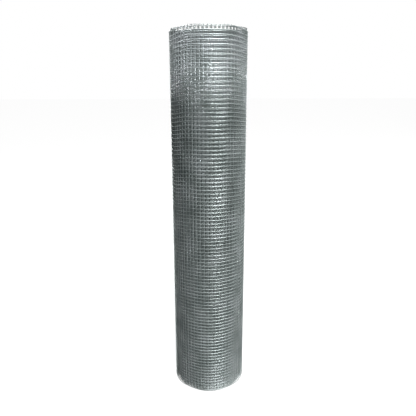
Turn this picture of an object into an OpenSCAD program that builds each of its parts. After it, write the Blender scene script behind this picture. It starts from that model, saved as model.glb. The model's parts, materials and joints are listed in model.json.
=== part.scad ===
// Roll of galvanised welded wire mesh, standing on its end.
// One turned solid: the wound mesh as a thick tube about the Z axis, with the
// open bore in its middle and the edge of every turn showing on both ends.
// The turns are tight at the upper end and looser at the lower end, so the
// roll is a little wider at its foot. Its loose last turn has slipped upward.
// The origin is at the centre of the lower end, and +Z runs up the roll.

/* [Mesh] */
// Spacing of the wires from centre to centre, the same both ways
mesh_pitch = 10; // [5:0.5:25]
// Number of mesh openings from one end of the roll to the other
cells_high = 100; // [20:1:200]
// Diameter of the wire
wire_d = 1.5; // [0.6:0.05:2]
// Length of cross wire left past the edge wire at each end
stub_l = 1.25; // [0.25:0.25:8]

/* [Roll] */
// Diameter of the open bore
bore_d = 95; // [60:1:200]
// Number of turns wound on the roll
turns = 20; // [4:1:50]
// Distance from one turn to the next at the upper end
turn_pitch = 2.5; // [2:0.05:5]
// How much wider the roll's radius is at the lower end
spread = 10; // [0:0.5:20]
// Depth of the gaps between the turns on each end
gap_depth = 5; // [1:0.5:8]
// How far the loose last turn stands above the others
last_rise = 10; // [0.5:0.5:30]

/* [Hidden] */
round_fn = 180;
cut_over = 1;

bore_r = bore_d / 2;
sheet_w = cells_high * mesh_pitch + wire_d + 2 * stub_l;
foot_pitch = turn_pitch + spread / turns;

// Outer radius after the first n turns, at the upper end and at the lower end
function top_r(n) = bore_r + n * turn_pitch;
function foot_r(n) = bore_r + n * foot_pitch;

// A gap between two turns, from radius r outward and from height z upward
module gap(r, pitch, z, depth) {
    translate([r, z]) square([pitch - wire_d, depth]);
}

// Half of the roll's section, before the gaps: the last turn stands higher
module wound_turns() {
    polygon([
        [bore_r, 0],
        [foot_r(turns - 1), 0],
        [foot_r(turns - 1), last_rise],
        [foot_r(turns), last_rise],
        [top_r(turns), sheet_w + last_rise],
        [top_r(turns - 1), sheet_w + last_rise],
        [top_r(turns - 1), sheet_w],
        [bore_r, sheet_w]
    ]);
}

// The gaps under and over every pair of turns
module gaps() {
    for (n = [1 : turns - 1]) {
        lift = n == turns - 1 ? last_rise : 0;
        gap(foot_r(n), foot_pitch, -cut_over, cut_over + gap_depth + lift);
        gap(top_r(n), turn_pitch, sheet_w - gap_depth, gap_depth + lift + cut_over);
    }
}

module mesh_roll() {
    color("silver") rotate_extrude($fn = round_fn) difference() {
        wound_turns();
        gaps();
    }
}

mesh_roll();
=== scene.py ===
"""Roll of galvanised welded wire mesh, standing on its end on a pale floor.

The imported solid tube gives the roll's place and size. Here it is replaced by the mesh
itself: one long sheet of line wires and cross wires wound on a spiral, turn by turn.
Line wires run round the roll, and cross wires stand upright just inside them.
"""

import json
import math

import bpy
import numpy as np
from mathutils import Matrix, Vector


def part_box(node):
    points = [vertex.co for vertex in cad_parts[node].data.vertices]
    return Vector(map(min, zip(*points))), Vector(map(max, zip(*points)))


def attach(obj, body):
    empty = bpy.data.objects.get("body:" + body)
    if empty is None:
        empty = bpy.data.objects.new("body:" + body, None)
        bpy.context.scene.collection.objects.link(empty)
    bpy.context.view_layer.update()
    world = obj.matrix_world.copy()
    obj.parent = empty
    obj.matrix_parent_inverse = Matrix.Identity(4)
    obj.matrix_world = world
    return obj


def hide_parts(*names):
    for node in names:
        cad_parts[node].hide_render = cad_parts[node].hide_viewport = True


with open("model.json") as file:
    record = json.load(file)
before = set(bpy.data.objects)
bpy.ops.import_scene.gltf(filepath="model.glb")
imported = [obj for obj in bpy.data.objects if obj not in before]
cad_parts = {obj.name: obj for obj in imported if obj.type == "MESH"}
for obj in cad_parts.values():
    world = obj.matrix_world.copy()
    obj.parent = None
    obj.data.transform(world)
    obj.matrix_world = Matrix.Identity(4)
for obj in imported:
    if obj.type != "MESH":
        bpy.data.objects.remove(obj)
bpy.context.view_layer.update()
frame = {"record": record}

NODE = "mesh_roll"
MM = 0.001

# The mesh
CELLS = 100              # openings from one end of the roll to the other
TURNS = 20               # turns wound on the roll
WIRE_D = 1.5 * MM        # chosen by the look of trial renders, not measured
WELD_SINK = 0.5 * MM     # how far two crossing wires sink into each other
EDGE_L = 2.0 * MM        # from the edge wire's centre to the cross wires' ends
LAST_RISE = 10.0 * MM    # how far the loose last turn stands above the others
TURN_PITCH = 2.5 * MM    # distance between turns at the upper end
WIRE_R = WIRE_D / 2
CROSS_INSET = WIRE_D - WELD_SINK
WELD_REACH = 0.62 * WIRE_D   # how far a weld's zinc reaches from its middle

# The roll's size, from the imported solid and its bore
roll_low, roll_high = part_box(NODE)
bore = next(m for m in frame["record"]["mounts"] if m["name"] == "bore")
BORE_R = bore["dims"]["r_mm"] * MM
TOP_R = BORE_R + TURNS * TURN_PITCH
FOOT_R = roll_high.x
HEIGHT = roll_high.z - LAST_RISE
PITCH = (HEIGHT - 2 * EDGE_L) / CELLS

# The spiral that the line wires follow, from the bore to the free end
SWEEP = 2 * math.pi * TURNS
R_START = BORE_R + CROSS_INSET + WIRE_R
R_FINISH = TOP_R - WIRE_R
GROWTH = (R_FINISH - R_START) / SWEEP
LOOSENING = (FOOT_R - TOP_R) / SWEEP
FREE_END_AT = math.radians(120)   # angle of the free end about Z, at the back

# Small departures from a perfect roll, guessed and not read from the photo
WAVE_R = 0.25 * MM       # dents that all the turns share
SLIP_R = 0.08 * MM       # slackness from turn to turn
SLIP_Z = 0.5 * MM        # how far turns stand out past each other at the ends
CUT_Z = 0.25 * MM        # unevenness of the cross wires' cut ends
# Painted light on the outer turn: its cross wires are painted a little darker than its line wires,
# as painted shade.
CROSS_PAINTED_LIGHT = 0.8       # the outer cross wires' brightness, where its line wires have 1
rng = np.random.default_rng(7)


# ---------------------------------------------------------------- camera and light

CAMERA_D = 1.0636        # from the roll's axis
CAMERA_Z = HEIGHT - 0.0825
LOOK_DOWN = math.radians(19.20)
LOOK_LEFT = math.radians(0.15)
ROLL_OVER = math.radians(-0.18)
LENS = 34.9
FLOOR_W = 24.0
SPOT_COLOUR = (1.0, 0.96, 1.0)


def make_camera():
    """The camera stands in front of the roll, near its top, and looks down a little."""
    data = bpy.data.cameras.new("camera")
    data.lens = LENS
    data.sensor_width = 36.0
    camera = bpy.data.objects.new("camera", data)
    camera.location = (0, -CAMERA_D, CAMERA_Z)
    ahead = Vector((
        -math.sin(LOOK_LEFT) * math.cos(LOOK_DOWN),
        math.cos(LOOK_LEFT) * math.cos(LOOK_DOWN),
        -math.sin(LOOK_DOWN),
    ))
    bpy.context.scene.collection.objects.link(camera)
    camera.rotation_euler = ahead.to_track_quat("-Z", "Y").to_euler()
    camera.rotation_euler.rotate_axis("Z", ROLL_OVER)
    bpy.context.scene.camera = camera


def add_lamp(name, place, aim, size, power, colour=(1, 1, 1)):
    """A soft rectangular lamp at place that shines towards aim."""
    data = bpy.data.lights.new(name, "AREA")
    data.shape = "RECTANGLE"
    data.size, data.size_y = size
    data.energy = power
    data.color = colour
    lamp = bpy.data.objects.new(name, data)
    lamp.location = place
    lamp.rotation_euler = (Vector(aim) - Vector(place)).to_track_quat("-Z", "Y").to_euler()
    bpy.context.scene.collection.objects.link(lamp)


def add_spot(name, place, aim, angle, radius, power, colour=(1, 1, 1)):
    """A round lamp at place that lights a soft-edged patch at aim."""
    data = bpy.data.lights.new(name, "SPOT")
    data.spot_size = math.radians(angle)
    data.spot_blend = 1.0
    data.shadow_soft_size = radius
    data.energy = power
    data.color = colour
    lamp = bpy.data.objects.new(name, data)
    lamp.location = place
    lamp.rotation_euler = (Vector(aim) - Vector(place)).to_track_quat("-Z", "Y").to_euler()
    lamp.visible_camera = False
    bpy.context.scene.collection.objects.link(lamp)


def around(azimuth, distance, height):
    """A place round the roll. Azimuth 0 is in front of it, and positive is to the right."""
    a = math.radians(azimuth)
    return Vector((math.sin(a) * distance, -math.cos(a) * distance, height))


def light_path_mask(nodes, links):
    """1 for rays from the camera and for glossy and transmission rays, otherwise 0."""
    path = nodes.new("ShaderNodeLightPath")
    total = path.outputs["Is Camera Ray"]
    for kind in ("Is Glossy Ray", "Is Transmission Ray"):
        add = nodes.new("ShaderNodeMath")
        add.operation = "MAXIMUM"
        links.new(total, add.inputs[0])
        links.new(path.outputs[kind], add.inputs[1])
        total = add.outputs[0]
    return total


def make_world():
    """White where the background is seen or mirrored, and a plain grey light elsewhere."""
    world = bpy.data.worlds.new("world")
    bpy.context.scene.world = world
    world.use_nodes = True
    nodes, links = world.node_tree.nodes, world.node_tree.links
    nodes.clear()
    soft = nodes.new("ShaderNodeBackground")
    soft.inputs["Color"].default_value = (1, 1, 1, 1)
    soft.inputs["Strength"].default_value = 0.2
    seen = nodes.new("ShaderNodeBackground")
    seen.inputs["Color"].default_value = (1, 1, 1, 1)
    seen.inputs["Strength"].default_value = 1.0
    mix = nodes.new("ShaderNodeMixShader")
    out = nodes.new("ShaderNodeOutputWorld")
    links.new(light_path_mask(nodes, links), mix.inputs["Fac"])
    links.new(soft.outputs[0], mix.inputs[1])
    links.new(seen.outputs[0], mix.inputs[2])
    links.new(mix.outputs[0], out.inputs["Surface"])


def make_floor():
    """A plain pale floor. The camera sees past its far edge, to the world's white."""
    half = FLOOR_W / 2
    mesh = bpy.data.meshes.new("floor")
    corners = [(-half, -half, 0), (half, -half, 0), (half, half, 0), (-half, half, 0)]
    mesh.from_pydata(corners, [], [(0, 1, 2, 3)])
    floor = bpy.data.objects.new("floor", mesh)
    floor.location.z = roll_low.z
    bpy.context.scene.collection.objects.link(floor)
    material = bpy.data.materials.new("floor")
    material.use_nodes = True
    nodes, links = material.node_tree.nodes, material.node_tree.links
    shader = nodes["Principled BSDF"]
    shader.inputs["Base Color"].default_value = (0.12, 0.12, 0.12, 1)
    shader.inputs["Roughness"].default_value = 0.9
    shader.inputs["Specular IOR Level"].default_value = 0.0
    shader.inputs["Emission Color"].default_value = (1, 1, 1, 1)
    glow = nodes.new("ShaderNodeMath")
    glow.operation = "MULTIPLY"
    glow.inputs[1].default_value = 0.95
    links.new(light_path_mask(nodes, links), glow.inputs[0])
    links.new(glow.outputs[0], shader.inputs["Emission Strength"])
    mesh.materials.append(material)


def make_wall(name, start, finish, albedo, low=0.0, high=3.5, radius=3.0):
    """A curved wall of the studio round the roll, which the camera doesn't see."""
    steps = 24
    mesh = bpy.data.meshes.new(name)
    turn = [start + (finish - start) * i / steps for i in range(steps + 1)]
    points = [around(a, radius, z)[:] for a in turn for z in (low, high)]
    mesh.from_pydata(points, [], [(2 * i, 2 * i + 2, 2 * i + 3, 2 * i + 1) for i in range(steps)])
    wall = bpy.data.objects.new(name, mesh)
    bpy.context.scene.collection.objects.link(wall)
    material = bpy.data.materials.new(name)
    material.use_nodes = True
    shader = material.node_tree.nodes["Principled BSDF"]
    shader.inputs["Base Color"].default_value = (albedo, albedo, albedo, 1)
    shader.inputs["Roughness"].default_value = 1.0
    shader.inputs["Specular IOR Level"].default_value = 0.0
    mesh.materials.append(material)
    wall.visible_camera = False


# ---------------------------------------------------------------- material

def new_noise(nodes, links, place, scale, detail):
    """A noise texture over the given coordinates, as a value from 0 to 1."""
    noise = nodes.new("ShaderNodeTexNoise")
    noise.inputs["Scale"].default_value = scale
    noise.inputs["Detail"].default_value = detail
    links.new(place, noise.inputs["Vector"])
    return noise.outputs["Fac"]


def new_ramp(nodes, links, value, stops):
    """Turns a value into a colour. stops is a list of (position, colour)."""
    ramp = nodes.new("ShaderNodeValToRGB")
    while len(ramp.color_ramp.elements) < len(stops):
        ramp.color_ramp.elements.new(0.5)
    for element, (position, colour) in zip(ramp.color_ramp.elements, stops):
        element.position = position
        element.color = (*colour, 1)
    links.new(value, ramp.inputs["Fac"])
    return ramp.outputs["Color"]


def make_zinc():
    """Hot-dipped zinc on wire: grey with a cool green cast, patchy, and a little rough.

    The outer turn's line wires are painted a little brighter than the rest, and the inner
    turns' wires a little darker: painted light and painted shade, so that the render's
    denoiser keeps the rows of mesh. The photo doesn't show such a difference.
    """
    material = bpy.data.materials.new("galvanised_wire")
    material.use_nodes = True
    nodes, links = material.node_tree.nodes, material.node_tree.links
    shader = nodes["Principled BSDF"]
    shader.inputs["Metallic"].default_value = 0.8
    place = nodes.new("ShaderNodeTexCoord").outputs["Object"]
    patches = new_noise(nodes, links, place, 22.0, 3.0)
    grain = new_noise(nodes, links, place, 900.0, 2.0)
    tint = new_ramp(nodes, links, patches, [
        (0.30, (0.198, 0.228, 0.223)),
        (0.50, (0.266, 0.30, 0.295)),
        (0.72, (0.335, 0.365, 0.37)),
    ])
    # Painted light: the outer turn's wires are painted brighter, the inner turns' wires darker as
    # painted shade.
    painted_light_attribute = nodes.new("ShaderNodeAttribute")
    painted_light_attribute.attribute_name = "painted_light"
    painted_light_scale = nodes.new("ShaderNodeMapRange")
    painted_light_scale.inputs["To Min"].default_value = 0.92
    painted_light_scale.inputs["To Max"].default_value = 1.02
    links.new(painted_light_attribute.outputs["Fac"], painted_light_scale.inputs["Value"])
    tinted = nodes.new("ShaderNodeVectorMath")
    tinted.operation = "SCALE"
    links.new(tint, tinted.inputs[0])
    links.new(painted_light_scale.outputs["Result"], tinted.inputs["Scale"])
    links.new(tinted.outputs["Vector"], shader.inputs["Base Color"])
    rough = nodes.new("ShaderNodeMapRange")
    rough.inputs["To Min"].default_value = 0.42
    rough.inputs["To Max"].default_value = 0.55
    links.new(grain, rough.inputs["Value"])
    links.new(rough.outputs["Result"], shader.inputs["Roughness"])
    bump = nodes.new("ShaderNodeBump")
    bump.inputs["Strength"].default_value = 0.25
    bump.inputs["Distance"].default_value = 0.0001
    links.new(grain, bump.inputs["Height"])
    links.new(bump.outputs["Normal"], shader.inputs["Normal"])
    return material


# ---------------------------------------------------------------- the wound sheet

def smooth_waves(count, per_turn, per_height):
    """Terms of a smooth random function of the angle about Z and the height."""
    return [
        (rng.uniform(-per_turn, per_turn), rng.uniform(-per_height, per_height),
         rng.uniform(0, 2 * math.pi), rng.uniform(0.4, 1.0))
        for _ in range(count)
    ]


def wave(terms, angle, z):
    """The random function, from about -1 to 1."""
    total = sum(w * np.sin(a * angle + b * z / HEIGHT + c) for a, b, c, w in terms)
    return total / sum(w for _, _, _, w in terms)


SHARED_DENTS = [(round(a), b, c, w) for a, b, c, w in smooth_waves(7, 5, 9)]
TURN_SLACK = smooth_waves(6, 0.9, 5)
TURN_SLIP = smooth_waves(5, 0.45, 0.5)


def azimuth_of(sweep):
    """Angle about Z at a point of the spiral."""
    return FREE_END_AT + (SWEEP - sweep)


def smooth_step(value, start, finish):
    """A smooth step from 0 at start to 1 at finish."""
    t = np.clip((value - start) / (finish - start), 0, 1)
    return t * t * (3 - 2 * t)


def rise(sweep):
    """How far the sheet stands up. The photo shows a crescent above the front of the roll.

    The last turn makes it. How far the next two turns stand up isn't seen in the photo:
    it was chosen for how the rows and the crescent look in the render. Angles are in
    degrees of winding from the free end.
    """
    left = np.degrees(SWEEP - sweep)
    last = smooth_step(left, 230, 170) - smooth_step(left, 125, 80)
    next_two = (
        0.67 * smooth_step(left, 960, 895)
        - 0.2 * smooth_step(left, 500, 470)
        - 0.47 * smooth_step(left, 450, 410)
    )
    return LAST_RISE * (last + next_two)


def spiral_r(sweep, z):
    """Radius of the line wires' centres."""
    dents = WAVE_R * wave(SHARED_DENTS, azimuth_of(sweep), z)
    slack = SLIP_R * wave(TURN_SLACK, sweep, z)
    growth = GROWTH + LOOSENING * (1 - z / HEIGHT)
    return R_START + growth * sweep + dents + slack - WAVE_R - SLIP_R


def sheet_point(sweep, z, inset=0.0):
    """A point of the sheet, and the directions out of it and along it."""
    angle = azimuth_of(sweep)
    r = spiral_r(sweep, z) - inset
    out = np.stack([np.cos(angle), np.sin(angle), np.zeros_like(angle)], -1)
    along = np.stack([np.sin(angle), -np.cos(angle), np.zeros_like(angle)], -1)
    slip = SLIP_Z * wave(TURN_SLIP, sweep, 0.0) * np.ones_like(r)
    place = out * r[..., None]
    place[..., 2] = z + slip + rise(sweep)
    return place, out, along


# The spiral at mid height, where the length of the sheet is measured
GROWTH_MID = GROWTH + LOOSENING / 2
SHEET_L = R_START * SWEEP + GROWTH_MID * SWEEP ** 2 / 2


def sweep_at(length):
    """Where on the spiral a given length of sheet has been wound, from the bore."""
    return (np.sqrt(R_START ** 2 + 2 * GROWTH_MID * length) - R_START) / GROWTH_MID


class MeshParts:
    """Collects vertices, faces and UVs of many wires, to make one object of them."""

    def __init__(self):
        self.points, self.corners, self.sizes, self.uvs, self.painted_light = [], [], [], [], []
        self.count = 0

    def add(self, points, faces, uvs, painted_light=0.0):
        """points is (n, 3), faces is (m, corners), and uvs gives each corner's place.

        The painted light is 1 on the outer turn's line wires and 0 on the inner turns' wires
        and the welds. It says how far the zinc's colour is raised: painted light on the outer
        turn, painted shade on the inner turns.
        """
        self.points.append(points)
        self.painted_light.append(np.full(len(points), painted_light, np.float32))
        self.corners.append((faces + self.count).ravel())
        self.sizes.append(np.full(len(faces), faces.shape[1]))
        self.uvs.append(uvs.reshape(-1, 2))
        self.count += len(points)

    def build(self, name, material):
        """Makes one object of the wires, which stands for the CAD solid."""
        mesh = bpy.data.meshes.new(name)
        points = np.concatenate(self.points).astype(np.float32)
        corners = np.concatenate(self.corners).astype(np.int32)
        sizes = np.concatenate(self.sizes)
        starts = (np.cumsum(sizes) - sizes).astype(np.int32)
        mesh.vertices.add(len(points))
        mesh.vertices.foreach_set("co", points.ravel())
        mesh.loops.add(len(corners))
        mesh.loops.foreach_set("vertex_index", corners)
        mesh.polygons.add(len(sizes))
        mesh.polygons.foreach_set("loop_start", starts)
        mesh.polygons.foreach_set("use_smooth", np.ones(len(sizes), bool))
        layer = mesh.uv_layers.new(name="OFBake")
        layer.uv.foreach_set("vector", np.concatenate(self.uvs).astype(np.float32).ravel())
        # Painted light and painted shade for each point, read by the zinc material.
        painted_light_layer = mesh.attributes.new("painted_light", "FLOAT", "POINT")
        painted_light_layer.data.foreach_set("value", np.concatenate(self.painted_light))
        mesh.update(calc_edges=True)
        mesh.validate()
        mesh.materials.append(material)
        piece = bpy.data.objects.new(name, mesh)
        bpy.context.scene.collection.objects.link(piece)
        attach(piece, "root")
        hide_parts(NODE)


def add_wires(parts, place, side_a, side_b, sides, strip_low, strip_high, painted_light=0.0):
    """Round wires along rows of points. place, side_a and side_b are (wires, points, 3).

    Each wire takes one strip of the UV square between strip_low and strip_high.
    """
    wires, steps = place.shape[:2]
    turn = np.arange(sides) * 2 * math.pi / sides
    ring = (np.cos(turn)[:, None] * side_a[:, :, None] + np.sin(turn)[:, None] * side_b[:, :, None])
    wide = WIRE_R * math.pi / (sides * math.sin(math.pi / sides))
    points = (place[:, :, None] + wide * ring).reshape(-1, 3)

    w, p, s = np.meshgrid(np.arange(wires), np.arange(steps - 1), np.arange(sides), indexing="ij")
    index = lambda dp, ds: ((w * steps + p + dp) * sides + (s + ds) % sides).ravel()
    faces = np.stack([index(0, 0), index(1, 0), index(1, 1), index(0, 1)], -1)

    strip = (strip_high - strip_low) / wires
    u = lambda dp: ((p + dp) / (steps - 1)).ravel()
    v = lambda ds: (strip_low + strip * (w + 0.05 + 0.9 * (s + ds) / sides)).ravel()
    uvs = np.stack([
        np.stack([u(0), v(0)], -1), np.stack([u(1), v(0)], -1),
        np.stack([u(1), v(1)], -1), np.stack([u(0), v(1)], -1),
    ], 1)
    parts.add(points, faces, uvs, painted_light)

    first = np.arange(wires)[:, None] * steps * sides + np.arange(sides)
    last = first + (steps - 1) * sides
    caps = np.concatenate([first[:, ::-1], last])
    base = np.zeros((0, 3))
    mid = strip_low + strip * (np.arange(wires) + 0.5)
    spot = 0.4 * strip * np.stack([np.cos(turn), np.sin(turn)], -1)
    cap_uvs = np.concatenate([
        np.stack([np.full(wires, 0.001), mid], -1)[:, None] + spot[::-1],
        np.stack([np.full(wires, 0.999), mid], -1)[:, None] + spot,
    ])
    parts.count -= len(points)
    parts.add(base, caps, np.clip(cap_uvs, 0, 1))
    parts.count += len(points)


def add_turns(parts, first, last, steps_per_turn, sides, cross_steps):
    """The sheet from turn first to turn last, counted from the bore."""
    low, high = 2 * math.pi * (first - 1), 2 * math.pi * last
    heights = EDGE_L + PITCH * np.arange(CELLS + 1)
    sweeps = np.linspace(low, high, steps_per_turn * (last - first + 1) + 1)
    sweep, z = np.broadcast_arrays(sweeps[None, :], heights[:, None])
    place, out, along = sheet_point(sweep, z)
    up = np.zeros_like(out)
    up[..., 2] = 1
    # Painted light: the outer turn's line wires are painted brighter, and the inner turns' wires
    # darker as painted shade.
    add_wires(parts, place, out, up, sides, 0.0, 0.70, painted_light=float(last == TURNS))

    cross_sweeps = sweep_at(np.arange(PITCH / 2, SHEET_L, PITCH))
    cross_sweeps = cross_sweeps[(cross_sweeps >= low) & (cross_sweeps < high)]
    ends = rng.uniform(0, CUT_Z, (len(cross_sweeps), 2))
    share = np.linspace(0, 1, cross_steps + 1)
    bottom = SLIP_Z + ends[:, :1]
    top = HEIGHT - SLIP_Z - ends[:, 1:]
    z = bottom + (top - bottom) * share
    sweep = np.broadcast_to(cross_sweeps[:, None], z.shape)
    place, out, along = sheet_point(sweep, z, CROSS_INSET)
    # Painted shade: the outer turn's cross wires are painted a little darker than its line wires.
    add_wires(parts, place, along, out, sides, 0.72, 0.90, painted_light=CROSS_PAINTED_LIGHT * (last == TURNS))
    return cross_sweeps, heights


def add_welds(parts, sweeps, heights):
    """A drop of zinc in the corners of each crossing, as a flat four-sided spindle."""
    sweep, z = np.meshgrid(sweeps, heights, indexing="ij")
    place, out, along = sheet_point(sweep.ravel(), z.ravel(), CROSS_INSET / 2)
    up = np.array([0.0, 0.0, 1.0])
    corners = [
        (-WELD_REACH, -WELD_REACH), (WELD_REACH, -WELD_REACH),
        (WELD_REACH, WELD_REACH), (-WELD_REACH, WELD_REACH),
    ]
    ring = [place + a * along + b * up for a, b in corners]
    points = np.stack([*ring, place + WELD_REACH * out, place - WELD_REACH * out], 1)
    faces = np.array([
        (0, 1, 4), (1, 2, 4), (2, 3, 4), (3, 0, 4), (1, 0, 5), (2, 1, 5), (3, 2, 5), (0, 3, 5)
    ])
    n = len(place)
    all_faces = (np.arange(n)[:, None, None] * 6 + faces).reshape(-1, 3)
    columns = math.ceil(math.sqrt(n * 10))
    cell = np.stack([np.arange(n) % columns, np.arange(n) // columns], -1)
    size = np.array([1 / columns, 0.09 / math.ceil(n / columns)])
    flat = np.array([(0, 0), (1, 0), (1, 1), (0, 1), (0.5, 0.5), (0.5, 0.5)])
    spot = (cell[:, None] + 0.1 + 0.8 * flat) * size + np.array([0, 0.91])
    uvs = spot[:, faces]
    parts.add(points.reshape(-1, 3), all_faces, uvs)


# Groups of turns from the bore outwards: first and last turn, steps round each turn,
# sides of each wire, and steps up each cross wire. Inner turns need fewer faces.
TURN_GROUPS = [
    ("mesh_bore_turn", 1, 1, 48, 5, 8),
    ("mesh_turns_02_to_04", 2, 4, 44, 3, 6),
    ("mesh_turns_05_to_09", 5, 9, 44, 3, 6),
    ("mesh_turns_10_to_13", 10, 13, 48, 3, 6),
    ("mesh_turns_14_to_17", 14, 17, 56, 4, 6),
    ("mesh_turns_18_to_19", 18, 19, 60, 6, 8),
    ("mesh_outer_turn", 20, 20, 72, 8, 10),
]


def make_roll():
    """Each group of turns is one object, and only the outer turn has its welds modelled."""
    zinc = make_zinc()
    for name, first, last, steps, sides, cross_steps in TURN_GROUPS:
        parts = MeshParts()
        sweeps, heights = add_turns(parts, first, last, steps, sides, cross_steps)
        if last == TURNS:
            add_welds(parts, sweeps, heights)
        parts.build(name, zinc)


# The lamps, spots and walls were tuned until the roll looked most like the photo. The two
# spots light only the upper end, and fill_back lights the back, which is in shade.
make_camera()
make_world()
make_floor()
make_wall("wall_left", -125, -20, 0.04, high=7.0)
make_wall("wall_right", -20, 125, 0.03, low=0.45, high=5.5)
add_lamp("key", around(33, 2.7, 3.0), (0, 0, 0.1), (0.8, 0.8), 405)
add_lamp("fill_back", around(195, 2.5, 2.2), (0, 0, 0.4), (1.0, 1.0), 110)
add_spot("top_left", around(-72, 1.5, 1.15), (0, 0, 1.01), 8.5, 0.12, 210, SPOT_COLOUR)
add_spot("top_front", around(2, 1.5, 1.15), (0, 0, 0.995), 8, 0.12, 600, SPOT_COLOUR)
make_roll()

bpy.context.scene.view_settings.view_transform = "Standard"
